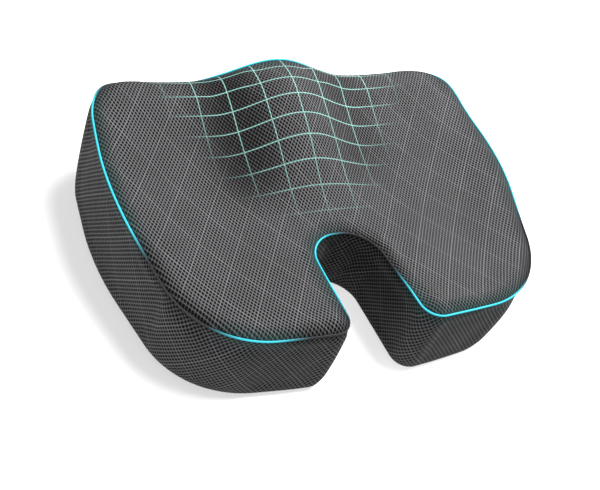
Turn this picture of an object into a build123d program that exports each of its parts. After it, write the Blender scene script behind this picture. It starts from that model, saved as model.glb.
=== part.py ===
from build123d import *

import os
from math import cos, pi

# Contoured seat cushion: a moulded foam core in a knitted liner, inside a sewn mesh cover.
# Lengths are millimetres. +X is the sitter's right, +Y the front edge and +Z up. The floor
# is z = 0, and the origin is under the middle of the whole cushion, zip slider included.

# Overall size and fabric thicknesses
DEPTH = 323.0
COVER_THICKNESS = 3.0
LINER_THICKNESS = 0.8
FABRIC_EASE = 0.2
PIPING_PROUD = 1.4
PIPING_HEIGHT = 2.6
CROWN_RADIUS = 8.0

# Zip: heights are measured outwards from the front wall, and widths up and down from its line
ZIP_LINE_Z = 34.0
TAPE_WIDTH = 9.0
TAPE_TOP = -0.8
TAPE_THICKNESS = 0.7
COIL_GAP = 1.2
COIL_WIDTH = 2.4
COIL_TOP = 0.6
RUNNING_GAP = 0.3
SLIDER_LENGTH = 12.0
SLIDER_PLATE = 0.9
SLIDER_SKIRT = 1.1
TAB_THICKNESS = 1.2
BAIL_WIDTH = 2.4
BAIL_STRAP = 0.9
SLIDER_CLOSED_X = 128.0
STOP_LENGTH = 3.0
STOP_ROUNDING = 0.4
BOTTOM_STOP_RISE = 0.2
TOP_STOP_GAP = 2.0
COIL_ROUNDING = 0.5
PLATE_CORNER = 2.5
BAIL_ROUNDING = 0.8
BAIL_GAP = 0.4

SLIDER_TOP = COIL_TOP + RUNNING_GAP + SLIDER_PLATE
TAB_AXIS = SLIDER_TOP + RUNNING_GAP + TAB_THICKNESS / 2
BAIL_TOP = TAB_AXIS + TAB_THICKNESS / 2 + BAIL_GAP + BAIL_STRAP

# The origin stays central although the bail stands prouder in front than the piping does behind
FRONT_Y = (DEPTH + PIPING_PROUD - BAIL_TOP) / 2
REAR_Y = FRONT_Y - DEPTH

# Plan outline of the right half: corners of a polygon, each rounded by its own tangent arc
CUTOUT_DEPTH = 123.3
OUTLINE_START = (0, FRONT_Y)
OUTLINE_END = (0, REAR_Y + CUTOUT_DEPTH)
ROUNDED_CORNERS = [
    ((212.5, FRONT_Y), 65.0),  # front corner
    ((230.0, FRONT_Y - 144.5), 318.0),  # widest part of the side
    ((195.6, REAR_Y + 7.0), 94.0),  # outer rear corner
    ((42.5, REAR_Y - 1.1), 20.5),  # inner corner of the leg
    ((36.5, REAR_Y + CUTOUT_DEPTH), 35.6),  # head of the tailbone cut-out
]

# Seat surface: a low trough, a front that rises, a pommel between the thighs, raised sides
TROUGH_HEIGHT = 83.5
TROUGH_Y = -21.0
FRONT_RISE = 1.66e-3
REAR_RISE = 0.7e-3
FRONT_ROLL = 23.0
FRONT_ROLL_DEPTH = 40.0
POMMEL_ROLL = 26.5
POMMEL_ROLL_DEPTH = 55.0
POMMEL_HEIGHT = 27.5
POMMEL_HALF_WIDTH = 89.0
POMMEL_START_Y = TROUGH_Y - 14.0
POMMEL_LENGTH = 118.0
SIDE_RUN = 136.0
SIDE_RISE_MIDDLE = 32.0
SIDE_RISE_ENDS = 14.0

# Underside: rubber dots carry the cushion
DOT_HEIGHT = 1.0
DOT_RADIUS = 4.0
DOT_PITCH = 32.0
DOT_EDGE_MARGIN = 20.0
DOT_TAPER = 25.0
BASE_TOP = DOT_HEIGHT + COVER_THICKNESS

# Front wall
FRONT_SEAM_X = 150.0
LABEL_X = -95.0
LABEL_WIDTH = 24.0
LABEL_HEIGHT = 18.0
LABEL_THICKNESS = 0.4

ABOVE_EVERYTHING = 200.0


def smooth_step(t):
    """Ease from 0 to 1 as t goes from 0 to 1."""
    t = min(max(t, 0.0), 1.0)
    return t * t * (3 - 2 * t)


def seat_height(x, y):
    """Height of the seat surface above the floor."""
    trough = TROUGH_HEIGHT
    trough += FRONT_RISE * max(0.0, y - TROUGH_Y) ** 2
    trough += REAR_RISE * max(0.0, TROUGH_Y - y) ** 2
    across = cos(pi / 2 * min(abs(x) / POMMEL_HALF_WIDTH, 1.0)) ** 2
    roll = FRONT_ROLL + (POMMEL_ROLL - FRONT_ROLL) * across
    roll_depth = FRONT_ROLL_DEPTH + (POMMEL_ROLL_DEPTH - FRONT_ROLL_DEPTH) * across
    trough -= roll * max(0.0, 1 - (FRONT_Y - y) / roll_depth) ** 2
    pommel = POMMEL_HEIGHT * smooth_step((y - POMMEL_START_Y) / POMMEL_LENGTH) * across
    side_rise = SIDE_RISE_ENDS + (SIDE_RISE_MIDDLE - SIDE_RISE_ENDS) * cos(pi * y / DEPTH) ** 2
    sides = side_rise * (max(0.0, abs(x) - POMMEL_HALF_WIDTH) / SIDE_RUN) ** 2
    return trough + pommel + sides


def seat_surface(drop):
    """The seat surface lowered by drop, as one smooth face larger than the cushion."""
    columns, rows = 37, 27
    half_width, half_depth = 252.0, 182.0
    points = []
    for i in range(columns):
        x = half_width * (2 * i / (columns - 1) - 1)
        line = []
        for j in range(rows):
            y = half_depth * (2 * j / (rows - 1) - 1)
            line.append(Vector(x, y, seat_height(x, y) - drop))
        points.append(line)
    return Face.make_surface_from_array_of_points(points, tol=0.3)


def outline(grow=0.0):
    """Plan outline of the cushion as a face at z = 0, grown or shrunk all round."""
    corners = [corner for corner, radius in ROUNDED_CORNERS]
    radii = [radius for corner, radius in ROUNDED_CORNERS]
    with BuildSketch() as plan:
        with BuildLine():
            right_half = FilletPolyline(OUTLINE_START, *corners, OUTLINE_END, radius=radii)
            mirror(right_half, about=Plane.YZ)
        make_face()
        if grow:
            offset(amount=grow, kind=Kind.INTERSECTION)
    return plan.sketch


def cushion_block(inset):
    """The whole cushion's shape, shrunk by inset on every side, with its crown rounded."""
    with BuildPart() as block:
        with BuildSketch(Plane.XY.offset(DOT_HEIGHT + inset)):
            add(outline(-inset))
        extrude(amount=ABOVE_EVERYTHING)
        split(bisect_by=seat_surface(inset), keep=Keep.BOTTOM)
        seat = block.faces().filter_by(GeomType.BSPLINE).sort_by(Axis.Z)[-1]
        fillet(seat.edges(), radius=CROWN_RADIUS - inset)
    return block.part


def wall_ring(outer, inner, bottom):
    """An upright ring between two copies of the outline, from bottom to far above the seat."""
    with BuildPart() as ring:
        with BuildSketch(Plane.XY.offset(bottom)):
            add(outline(outer))
            add(outline(inner), mode=Mode.SUBTRACT)
        extrude(amount=ABOVE_EVERYTHING)
    return ring.part


def zip_box(x_range, height_range, width_range):
    """A block in the front wall: along the zip, out from the wall, and across the zip line."""
    with BuildPart() as block:
        with BuildSketch(Plane.YZ.offset(x_range[0])):
            with Locations((FRONT_Y + height_range[0], ZIP_LINE_Z + width_range[0])):
                Rectangle(
                    height_range[1] - height_range[0],
                    width_range[1] - width_range[0],
                    align=(Align.MIN, Align.MIN),
                )
        extrude(amount=x_range[1] - x_range[0])
    return block.part


def finish(piece, name):
    """Label a finished piece and write its STEP file."""
    piece.part.label = name
    export_step(piece.part, f"parts/{name}.step")


os.makedirs("parts", exist_ok=True)

# ---------------------------------------------------------------- inside the cover

LINER_OUTSIDE = COVER_THICKNESS + FABRIC_EASE
LINER_INSIDE = LINER_OUTSIDE + LINER_THICKNESS

with BuildPart() as inner_liner:
    add(cushion_block(LINER_OUTSIDE))
    add(cushion_block(LINER_INSIDE), mode=Mode.SUBTRACT)
finish(inner_liner, "inner_liner")

with BuildPart() as foam_core:
    add(cushion_block(LINER_INSIDE + FABRIC_EASE))
finish(foam_core, "foam_core")

# ---------------------------------------------------------------- cover panels

with BuildPart() as top_panel:
    add(cushion_block(0.0))
    split(bisect_by=seat_surface(CROWN_RADIUS), keep=Keep.TOP)
    add(cushion_block(COVER_THICKNESS), mode=Mode.SUBTRACT)
finish(top_panel, "top_panel")

with BuildPart() as cover_wall:
    add(wall_ring(0.0, -COVER_THICKNESS, BASE_TOP))
    split(bisect_by=seat_surface(CROWN_RADIUS), keep=Keep.BOTTOM)

with BuildPart() as front_section:
    with Locations((0, FRONT_Y, 0)):
        Box(
            2 * FRONT_SEAM_X,
            4 * COVER_THICKNESS,
            ABOVE_EVERYTHING,
            align=(Align.CENTER, Align.CENTER, Align.MIN),
        )

with BuildPart() as side_border:
    add(cover_wall.part)
    add(front_section.part, mode=Mode.SUBTRACT)
finish(side_border, "side_border")

with BuildPart() as front_border_upper:
    add(cover_wall.part)
    add(front_section.part, mode=Mode.INTERSECT)
    split(bisect_by=Plane.XY.offset(ZIP_LINE_Z + TAPE_WIDTH), keep=Keep.TOP)
finish(front_border_upper, "front_border_upper")

with BuildPart() as front_border_lower:
    add(cover_wall.part)
    add(front_section.part, mode=Mode.INTERSECT)
    split(bisect_by=Plane.XY.offset(ZIP_LINE_Z - TAPE_WIDTH), keep=Keep.BOTTOM)
finish(front_border_lower, "front_border_lower")

with BuildPart() as bottom_panel:
    with BuildSketch(Plane.XY.offset(DOT_HEIGHT)):
        add(outline())
    extrude(amount=COVER_THICKNESS)
finish(bottom_panel, "bottom_panel")

# The piping follows the seam between the top panel and the wall
with BuildPart() as top_piping:
    add(wall_ring(PIPING_PROUD, 0.0, BASE_TOP))
    split(bisect_by=seat_surface(CROWN_RADIUS + PIPING_HEIGHT / 2), keep=Keep.TOP)
    split(bisect_by=seat_surface(CROWN_RADIUS - PIPING_HEIGHT / 2), keep=Keep.BOTTOM)
finish(top_piping, "top_piping")

# ---------------------------------------------------------------- underside

dot_area = outline(-DOT_EDGE_MARGIN).face()
dot_row_pitch = DOT_PITCH * 3**0.5 / 2
dot_rows = int(DEPTH / 2 / dot_row_pitch)
dot_columns = int(-REAR_Y / DOT_PITCH) + 3
dot_centres = []
for row in range(-dot_rows, dot_rows + 1):
    for column in range(-dot_columns, dot_columns + 1):
        centre = (DOT_PITCH * (column + (row % 2) / 2), dot_row_pitch * row)
        if dot_area.is_inside((*centre, 0)):
            dot_centres.append(centre)

with BuildPart() as grip_dots:
    with BuildSketch(Plane.XY.offset(DOT_HEIGHT)):
        with Locations(*dot_centres):
            Circle(DOT_RADIUS)
    extrude(amount=-DOT_HEIGHT, taper=DOT_TAPER)
finish(grip_dots, "grip_dots")

# ---------------------------------------------------------------- zip

COIL_END_X = SLIDER_CLOSED_X + SLIDER_LENGTH / 2
for name, side in (("upper", 1), ("lower", -1)):
    near, far = side * COIL_GAP / 2, side * TAPE_WIDTH
    with BuildPart() as zip_tape:
        add(
            zip_box(
                (-FRONT_SEAM_X, FRONT_SEAM_X),
                (TAPE_TOP - TAPE_THICKNESS, TAPE_TOP),
                sorted((near, far)),
            )
        )
    finish(zip_tape, f"zip_tape_{name}")

    with BuildPart() as zip_coil:
        add(
            zip_box(
                (-COIL_END_X, COIL_END_X),
                (TAPE_TOP, COIL_TOP),
                sorted((near, near + side * COIL_WIDTH)),
            )
        )
        fillet(zip_coil.edges().filter_by(Axis.X).group_by(Axis.Y)[-1], radius=COIL_ROUNDING)
    finish(zip_coil, f"zip_coil_{name}")

with BuildPart() as zip_bottom_stop:
    add(
        zip_box(
            (-COIL_END_X - STOP_LENGTH, -COIL_END_X),
            (TAPE_TOP, COIL_TOP + BOTTOM_STOP_RISE),
            (-COIL_WIDTH - COIL_GAP / 2, COIL_WIDTH + COIL_GAP / 2),
        )
    )
    fillet(zip_bottom_stop.faces().sort_by(Axis.Y)[-1].edges(), radius=STOP_ROUNDING)
finish(zip_bottom_stop, "zip_bottom_stop")

TOP_STOP_X = COIL_END_X + TOP_STOP_GAP
with BuildPart() as zip_top_stops:
    for side in (1, -1):
        near, far = side * COIL_GAP / 2, side * (COIL_GAP / 2 + COIL_WIDTH)
        add(
            zip_box(
                (TOP_STOP_X, TOP_STOP_X + STOP_LENGTH),
                (TAPE_TOP, COIL_TOP),
                sorted((near, far)),
            )
        )
    fillet(zip_top_stops.faces().group_by(Axis.Y)[-1].edges(), radius=STOP_ROUNDING)
finish(zip_top_stops, "zip_top_stops")

# The slider is a channel round both coils: two plates joined by a thin web, with side skirts
PLATE_UNDER = COIL_TOP + RUNNING_GAP
SKIRT_INNER = COIL_GAP / 2 + COIL_WIDTH + RUNNING_GAP
SKIRT_OUTER = SKIRT_INNER + SLIDER_SKIRT
KEEL_TOP = TAPE_TOP - TAPE_THICKNESS - RUNNING_GAP
KEEL_THICKNESS = 0.8
WEB_HALF = COIL_GAP / 2 - RUNNING_GAP
POST_OUTER = 4.8
POST_THICKNESS = 1.2
slider_span = (SLIDER_CLOSED_X - SLIDER_LENGTH / 2, SLIDER_CLOSED_X + SLIDER_LENGTH / 2)

with BuildPart() as slider_plate:
    add(zip_box(slider_span, (PLATE_UNDER, SLIDER_TOP), (-SKIRT_OUTER, SKIRT_OUTER)))
    fillet(slider_plate.edges().filter_by(Axis.Y), radius=PLATE_CORNER)

with BuildPart() as zip_slider:
    add(slider_plate.part)
    for side in (1, -1):
        skirt = sorted((side * SKIRT_INNER, side * SKIRT_OUTER))
        skirt_span = (slider_span[0] + PLATE_CORNER, slider_span[1] - PLATE_CORNER)
        add(zip_box(skirt_span, (TAPE_TOP + RUNNING_GAP, PLATE_UNDER), skirt))
    add(zip_box(skirt_span, (KEEL_TOP, PLATE_UNDER), (-WEB_HALF, WEB_HALF)))
    add(
        zip_box(
            skirt_span,
            (KEEL_TOP - KEEL_THICKNESS, KEEL_TOP),
            (-SKIRT_INNER, SKIRT_INNER),
        )
    )
    for end in (1, -1):
        post = sorted((end * POST_OUTER, end * (POST_OUTER - POST_THICKNESS)))
        add(
            zip_box(
                (SLIDER_CLOSED_X + post[0], SLIDER_CLOSED_X + post[1]),
                (SLIDER_TOP, BAIL_TOP),
                (-BAIL_WIDTH / 2, BAIL_WIDTH / 2),
            )
        )
    add(
        zip_box(
            (SLIDER_CLOSED_X - POST_OUTER, SLIDER_CLOSED_X + POST_OUTER),
            (BAIL_TOP - BAIL_STRAP, BAIL_TOP),
            (-BAIL_WIDTH / 2, BAIL_WIDTH / 2),
        )
    )
    bail_shoulders = zip_slider.edges().filter_by(Axis.Z).group_by(Axis.Y)[-1]
    fillet(bail_shoulders, radius=BAIL_ROUNDING)
finish(zip_slider, "zip_slider")

# The pull tab is a plate with a window for the bail; its root is rounded about the pivot
TAB_LENGTH = 24.0
TAB_ROOT_HALF_WIDTH = 4.0
TAB_TIP_HALF_WIDTH = 3.2
TAB_TIP_RADIUS = 2.6
TAB_HOLE_LENGTH = 7.0
TAB_HOLE_WIDTH = 3.0
TAB_HOLE_SETBACK = 7.0
WINDOW_END = 6.6
WINDOW_HALF_WIDTH = BAIL_WIDTH / 2 + RUNNING_GAP
tab_plane = Plane(
    origin=(SLIDER_CLOSED_X, FRONT_Y + TAB_AXIS, ZIP_LINE_Z),
    x_dir=(-1, 0, 0),
    z_dir=(0, 1, 0),
)

with BuildPart() as zip_pull_tab:
    with BuildSketch(tab_plane) as tab_shape:
        with BuildLine():
            Polyline(
                (0, -TAB_ROOT_HALF_WIDTH),
                (TAB_LENGTH, -TAB_TIP_HALF_WIDTH),
                (TAB_LENGTH, TAB_TIP_HALF_WIDTH),
                (0, TAB_ROOT_HALF_WIDTH),
                close=True,
            )
        make_face()
        fillet(tab_shape.vertices().group_by(Axis.X)[0], radius=TAB_TIP_RADIUS)
        with Locations((WINDOW_END / 2, 0)):
            Rectangle(WINDOW_END, 2 * WINDOW_HALF_WIDTH, mode=Mode.SUBTRACT)
        with Locations((TAB_LENGTH - TAB_HOLE_SETBACK, 0)):
            SlotOverall(TAB_HOLE_LENGTH, TAB_HOLE_WIDTH, mode=Mode.SUBTRACT)
    extrude(amount=TAB_THICKNESS / 2, both=True)
    with BuildSketch(Plane.XY.offset(ZIP_LINE_Z - TAB_ROOT_HALF_WIDTH)):
        with Locations((SLIDER_CLOSED_X, FRONT_Y + TAB_AXIS)):
            Circle(TAB_THICKNESS / 2)
    extrude(amount=2 * TAB_ROOT_HALF_WIDTH)
finish(zip_pull_tab, "zip_pull_tab")

# ---------------------------------------------------------------- label

with BuildPart() as care_label:
    with Locations((LABEL_X, FRONT_Y, BASE_TOP)):
        Box(
            LABEL_WIDTH,
            LABEL_THICKNESS,
            LABEL_HEIGHT,
            align=(Align.CENTER, Align.MIN, Align.MIN),
        )
finish(care_label, "care_label")
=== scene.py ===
import math

import bpy
import numpy as np
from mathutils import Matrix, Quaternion, Vector, noise
from mathutils.geometry import delaunay_2d_cdt
from mathutils.kdtree import KDTree


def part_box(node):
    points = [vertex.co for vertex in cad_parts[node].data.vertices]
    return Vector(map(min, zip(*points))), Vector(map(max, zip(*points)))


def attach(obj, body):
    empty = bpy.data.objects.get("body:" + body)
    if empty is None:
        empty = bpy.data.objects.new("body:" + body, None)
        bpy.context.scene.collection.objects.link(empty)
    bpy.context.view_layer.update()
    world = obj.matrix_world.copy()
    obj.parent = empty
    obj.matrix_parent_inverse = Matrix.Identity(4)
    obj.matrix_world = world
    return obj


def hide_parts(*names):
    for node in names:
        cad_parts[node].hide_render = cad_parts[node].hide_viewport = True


# The looks of a contoured seat cushion: a moulded foam core in a sewn cover of spacer mesh, with
# a bright piping in its seam. Lengths are metres, +X the sitter's right, +Y the front, +Z up.

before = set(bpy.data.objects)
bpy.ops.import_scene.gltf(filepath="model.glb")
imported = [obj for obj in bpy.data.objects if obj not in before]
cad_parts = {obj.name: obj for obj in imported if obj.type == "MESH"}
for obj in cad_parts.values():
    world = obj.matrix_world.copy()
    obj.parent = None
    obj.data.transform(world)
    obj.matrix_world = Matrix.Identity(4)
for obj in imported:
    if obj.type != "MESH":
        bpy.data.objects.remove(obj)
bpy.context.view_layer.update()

# ---------------------------------------------------------------- driving dimensions

PANEL_LOW, PANEL_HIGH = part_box("bottom_panel")
FRONT_Y = PANEL_HIGH.y
REAR_Y = PANEL_LOW.y
BASE_Z = PANEL_LOW.z
DEPTH = FRONT_Y - REAR_Y
COVER_THICKNESS = PANEL_HIGH.z - PANEL_LOW.z

# Plan outline of the right half: the corners of a polygon and the radius that rounds each
CUTOUT_DEPTH = 0.1233
ROUNDED_CORNERS = [
    ((0.2125, FRONT_Y), 0.065),  # front corner
    ((0.230, FRONT_Y - 0.1445), 0.318),  # widest part of the side
    ((0.1956, REAR_Y + 0.007), 0.094),  # outer rear corner
    ((0.0425, REAR_Y - 0.0011), 0.0205),  # inner corner of the leg
    ((0.0365, REAR_Y + CUTOUT_DEPTH), 0.0356),  # head of the tailbone cut-out
]

# Seat surface
TROUGH_HEIGHT = 0.0835
TROUGH_Y = -0.021
FRONT_RISE = 1.66
REAR_RISE = 0.7
FRONT_ROLL = 0.023
FRONT_ROLL_DEPTH = 0.040
POMMEL_ROLL = 0.0265
POMMEL_ROLL_DEPTH = 0.055
POMMEL_HEIGHT = 0.0275
POMMEL_HALF_WIDTH = 0.089
POMMEL_START_Y = TROUGH_Y - 0.014
POMMEL_LENGTH = 0.118
SIDE_RUN = 0.136
SIDE_RISE_MIDDLE = 0.032
SIDE_RISE_ENDS = 0.014

# Crown and wall
CROWN_WIDTH = 0.017
CROWN_DROP = 0.0075
CROWN_CURVE = 2.2
CUTOUT_CROWN_DROP = 0.003
POMMEL_CROWN_DROP = 0.002
POMMEL_SEAM = 0.060
POMMEL_EASE = 0.050
CUTOUT_START = 0.625
CUTOUT_EASE = 0.06
LEG_END_START = 0.52
LEG_END_EASE = 0.1
EDGE_RADIUS = 0.008
WALL_DRAFT = 0.0045
WALL_BULGE = 0.0015
SEAM_TUCK = 0.0009
SEAM_REACH = 0.002

# Front wall, which holds the zip
FRONT_SEAM = 0.150
FRONT_EASE = 0.04
ZIP_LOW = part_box("front_border_lower")[1].z
ZIP_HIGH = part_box("front_border_upper")[0].z

# The borders roll in beside the zip, in rows at these distances from their edges
HEM_ROLL = 0.0011
HEM_REACH = 0.0022
HEM_ROWS = [0.0, 0.0003, 0.0007, 0.0012, 0.0022]

# Insets of the pieces inside the cover, and the spacing of their points
FOAM_INSET = 0.0048
LINER_INSET = 0.0034
LINER_THICKNESS = 0.0008
INNER_SPACING = 0.008
INNER_PITCH = 0.009
INNER_WALL_ROWS = 14
INNER_EDGE_ROWS = 5

# Spacing of the points of the panels that show
TOP_SPACING = 0.0022
TOP_PITCH = 0.003
WALL_SPACING = 0.0025
WALL_ROWS = 30
LOWER_BORDER_ROWS = 8
WALL_CROWDING = 1.35
BASE_SPACING = 0.004
BASE_PITCH = 0.006
BASE_INSET = 0.0004

# Piping, whose cord sits just outside the seam and above it
PIPING_RADIUS = 0.00095
PIPING_OUT = 0.0006
PIPING_UP = 0.0005
PIPING_SIDES = 12

# Stitches, zip coils and the edges of small metal parts
STITCH_LENGTH = 0.0026
STITCH_STEP = 0.0036
STITCH_RADIUS = 0.00024
STITCH_RISE = 0.0003
STITCH_OFFSET = 0.0032
STITCH_LOWEST = 0.010
STITCH_TOP_GAP = 0.006
COIL_PITCH = 0.0013
COIL_WIRE = 0.00027
COIL_TIP = 0.00035
METAL_EDGE = 0.00018

# Care label, which curls away from the wall, and the stitches along its upper edge
LABEL_CURL = 0.0026
LABEL_WAVE = 0.0002
LABEL_STITCH_LENGTH = 0.0021
LABEL_STITCH_STEP = 0.0030
LABEL_STITCH_DROP = 0.0014
LABEL_STITCH_MARGIN = 0.001
LABEL_STITCH_RISE = 0.0001

# Cloth pass, which swells the cover between its seams
CLOTH_INSET = 0.002
CLOTH_PRESSURE = 4.0
CLOTH_FRAMES = 20
CLOTH_LIMIT = 0.0028
CLOTH_LEVEL = 0.0021
CLOTH_NEIGHBOURS = 12
CLOTH_BLUR = 0.007
FRONT_HOLD = 0.012
ZIP_HOLD = 0.006
SEAM_HOLD = 0.012
EDGE_HOLD = 0.02

# Stretches of the piping that carry a painted teal glow, as distances round the seam from the front
# middle
GLOWING_STRETCHES = [
    (-0.075, 0.085),  # over the pommel
    (0.180, 0.408),  # right side
    (0.518, 0.684),  # rear of the right leg and into the cut-out
    (0.790, 0.897),  # left of the cut-out
    (0.988, 1.048),  # rear of the left leg
    (1.170, 1.345),  # left side
]
GLOW_FADE = 0.045


def smooth(t):
    """Ease from 0 to 1 as t goes from 0 to 1."""
    t = np.clip(t, 0.0, 1.0)
    return t * t * (3 - 2 * t)


# ---------------------------------------------------------------- the cushion's form


def arc_corner(before, corner, after, radius, step=0.0005):
    """Points on the arc that rounds a corner between its two straight runs."""
    towards_before = (before - corner) / np.linalg.norm(before - corner)
    towards_after = (after - corner) / np.linalg.norm(after - corner)
    half_angle = math.acos(np.clip(towards_before @ towards_after, -1, 1)) / 2
    middle = towards_before + towards_after
    centre = corner + middle / np.linalg.norm(middle) * radius / math.sin(half_angle)
    first = corner + towards_before * radius / math.tan(half_angle)
    last = corner + towards_after * radius / math.tan(half_angle)
    sweep = math.pi - 2 * half_angle
    spoke = first - centre
    cross = spoke[0] * (last - centre)[1] - spoke[1] * (last - centre)[0]
    angles = math.copysign(1, cross) * np.linspace(0, sweep, int(sweep * radius / step) + 2)
    turned_x = spoke[0] * np.cos(angles) - spoke[1] * np.sin(angles)
    turned_y = spoke[0] * np.sin(angles) + spoke[1] * np.cos(angles)
    return centre + np.column_stack([turned_x, turned_y])


def trace_outline():
    """The whole outline, clockwise from the front middle, and the distance along it."""
    polygon = [(0.0, FRONT_Y)] + [corner for corner, radius in ROUNDED_CORNERS]
    polygon = np.array(polygon + [(0.0, REAR_Y + CUTOUT_DEPTH)])
    half = [polygon[:1]]
    for i, (corner, radius) in enumerate(ROUNDED_CORNERS):
        half.append(arc_corner(polygon[i], polygon[i + 1], polygon[i + 2], radius))
    half = np.vstack(half + [polygon[-1:]])
    whole = np.vstack([half, half[-2::-1] * (-1, 1)])
    steps = np.linalg.norm(np.diff(whole, axis=0), axis=1)
    return whole, np.concatenate([[0], np.cumsum(steps)])


OUTLINE, OUTLINE_DISTANCE = trace_outline()
PERIMETER = OUTLINE_DISTANCE[-1]


def plan_at(distance):
    """Where the outline is at a distance round it, and which way is out."""
    def place(d):
        d = np.mod(d, PERIMETER)
        x = np.interp(d, OUTLINE_DISTANCE, OUTLINE[:, 0])
        y = np.interp(d, OUTLINE_DISTANCE, OUTLINE[:, 1])
        return np.column_stack([x, y])

    along = place(distance + 0.001) - place(distance - 0.001)
    along /= np.linalg.norm(along, axis=1)[:, None]
    outward = np.column_stack([-along[:, 1], along[:, 0]])
    return place(distance), outward


def seat_height(x, y):
    """Height of the seat surface above the floor."""
    trough = TROUGH_HEIGHT + FRONT_RISE * np.maximum(0, y - TROUGH_Y) ** 2
    trough += REAR_RISE * np.maximum(0, TROUGH_Y - y) ** 2
    across = np.cos(np.pi / 2 * np.minimum(np.abs(x) / POMMEL_HALF_WIDTH, 1)) ** 2
    roll = FRONT_ROLL + (POMMEL_ROLL - FRONT_ROLL) * across
    roll_depth = FRONT_ROLL_DEPTH + (POMMEL_ROLL_DEPTH - FRONT_ROLL_DEPTH) * across
    trough -= roll * np.maximum(0, 1 - (FRONT_Y - y) / roll_depth) ** 2
    pommel = POMMEL_HEIGHT * smooth((y - POMMEL_START_Y) / POMMEL_LENGTH) * across
    side_rise = SIDE_RISE_ENDS + (SIDE_RISE_MIDDLE - SIDE_RISE_ENDS) * np.cos(np.pi * y / DEPTH) ** 2
    sides = side_rise * (np.maximum(0, np.abs(x) - POMMEL_HALF_WIDTH) / SIDE_RUN) ** 2
    return trough + pommel + sides


class Columns:
    """Upright lines round the outline, each with the shape of its wall and crown.

    inset shrinks the whole form on every side, for the pieces inside the cover."""

    def __init__(self, distance, inset=0.0):
        self.distance = distance
        self.inset = inset
        self.point, self.outward = plan_at(distance)
        from_front = np.minimum(np.mod(distance, PERIMETER), np.mod(-distance, PERIMETER))
        self.in_cutout = smooth((from_front - CUTOUT_START) / CUTOUT_EASE)
        self.off_front = smooth((from_front - FRONT_SEAM) / FRONT_EASE)
        self.near_cutout = smooth((from_front - LEG_END_START) / LEG_END_EASE)
        over_pommel = 1 - smooth((from_front - POMMEL_SEAM) / POMMEL_EASE)
        self.drop = CROWN_DROP + (CUTOUT_CROWN_DROP - CROWN_DROP) * self.in_cutout
        self.drop += (POMMEL_CROWN_DROP - CROWN_DROP) * over_pommel
        self.upright_tuck = SEAM_TUCK * np.exp(-np.abs(from_front - FRONT_SEAM) / SEAM_REACH)
        self.draft = WALL_DRAFT * self.off_front * (1 - self.near_cutout)
        self.height = seat_height(*self.point.T) - self.drop - BASE_Z

    def crown(self, back):
        """The seat's surface at a distance back from the seam, from 0 to CROWN_WIDTH."""
        left = 1 - back / CROWN_WIDTH
        inwards = self.inset + back * (1 - self.inset / CROWN_WIDTH)
        plan = self.point - self.outward * inwards
        z = seat_height(*plan.T) - self.drop * left**CROWN_CURVE - self.inset
        tuck = SEAM_TUCK * math.exp(-back / SEAM_REACH)
        return np.column_stack([plan - self.outward * tuck, z])

    def wall(self, height):
        """The wall's surface at a height above the underside, which may differ by column."""
        height = height + 0 * self.height
        share = height / self.height
        bulge = WALL_BULGE * np.sin(np.pi * np.clip(share, 0, 1)) * self.off_front
        under = np.maximum(0, EDGE_RADIUS - height)
        rounding = EDGE_RADIUS - np.sqrt(EDGE_RADIUS**2 - under**2)
        tuck = SEAM_TUCK * np.exp(-np.maximum(0, self.height - height) / SEAM_REACH)
        tuck = np.maximum(tuck, self.upright_tuck)
        out = bulge - self.draft * (1 - share) - rounding - tuck - self.inset
        z = BASE_Z + self.inset + height * (1 - 2 * self.inset / self.height)
        return np.column_stack([self.point + self.outward * out[:, None], z])

    def rounded_edge_heights(self, count=7):
        """Heights that space rows evenly round the lower edge."""
        angles = np.linspace(math.radians(4), math.pi / 2, count)
        return EDGE_RADIUS * (1 - np.cos(angles))


def even_distances(start, end, spacing):
    """Distances from start to end, both included, in even steps close to spacing."""
    return np.linspace(start, end, int(round((end - start) / spacing)) + 1)


def crowded(shares):
    """Shares from 0 to 1 that crowd towards 1, where a seam needs finer rows."""
    return 1 - (1 - shares) ** WALL_CROWDING


# ---------------------------------------------------------------- mesh helpers


def grid_faces(rows, columns, closed=False):
    """Quads of a grid of rows that go up the wall or in over the crown, facing outwards."""
    faces = []
    for r in range(rows - 1):
        for c in range(columns if closed else columns - 1):
            right = (c + 1) % columns
            low, high = r * columns, (r + 1) * columns
            faces.append((low + c, high + c, high + right, low + right))
    return faces


def inside(points, ring):
    """Which points lie inside a closed ring in plan."""
    found = np.zeros(len(points), bool)
    for a, b in zip(ring, np.roll(ring, -1, axis=0)):
        crosses = (a[1] > points[:, 1]) != (b[1] > points[:, 1])
        if crosses.any():
            share = (points[:, 1] - a[1]) / (b[1] - a[1] or 1e-12)
            found ^= crosses & (points[:, 0] < a[0] + share * (b[0] - a[0]))
    return found


def fill_ring(ring, pitch):
    """Points on a triangular grid inside a ring, and the triangles of ring and grid, facing up."""
    tree = KDTree(len(ring))
    for i, (x, y) in enumerate(ring):
        tree.insert((x, y, 0), i)
    tree.balance()
    low, high = ring.min(0), ring.max(0)
    grid = []
    for row, y in enumerate(np.arange(low[1], high[1], pitch * math.sqrt(3) / 2)):
        shift = pitch / 2 * (row % 2)
        grid.extend((x, y) for x in np.arange(low[0] + shift, high[0], pitch))
    grid = np.array(grid)
    grid = grid[inside(grid, ring)]
    clearance = 0.6 * pitch
    clear = [tree.find((x, y, 0))[2] > clearance for x, y in grid]
    grid = grid[np.array(clear)]
    flat = [Vector(p) for p in np.vstack([ring, grid])]
    found = delaunay_2d_cdt(flat, [], [list(range(len(ring)))], 1, 1e-7)
    origin = [sources[0] for sources in found[3]]
    triangles = [tuple(origin[i] for i in face) for face in found[2]]
    corners = np.array([[flat[i] for i in t] for t in triangles[:1]])[0]
    turn = np.cross(corners[1] - corners[0], corners[2] - corners[0])
    if turn < 0:
        triangles = [t[::-1] for t in triangles]
    return grid, triangles


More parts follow.
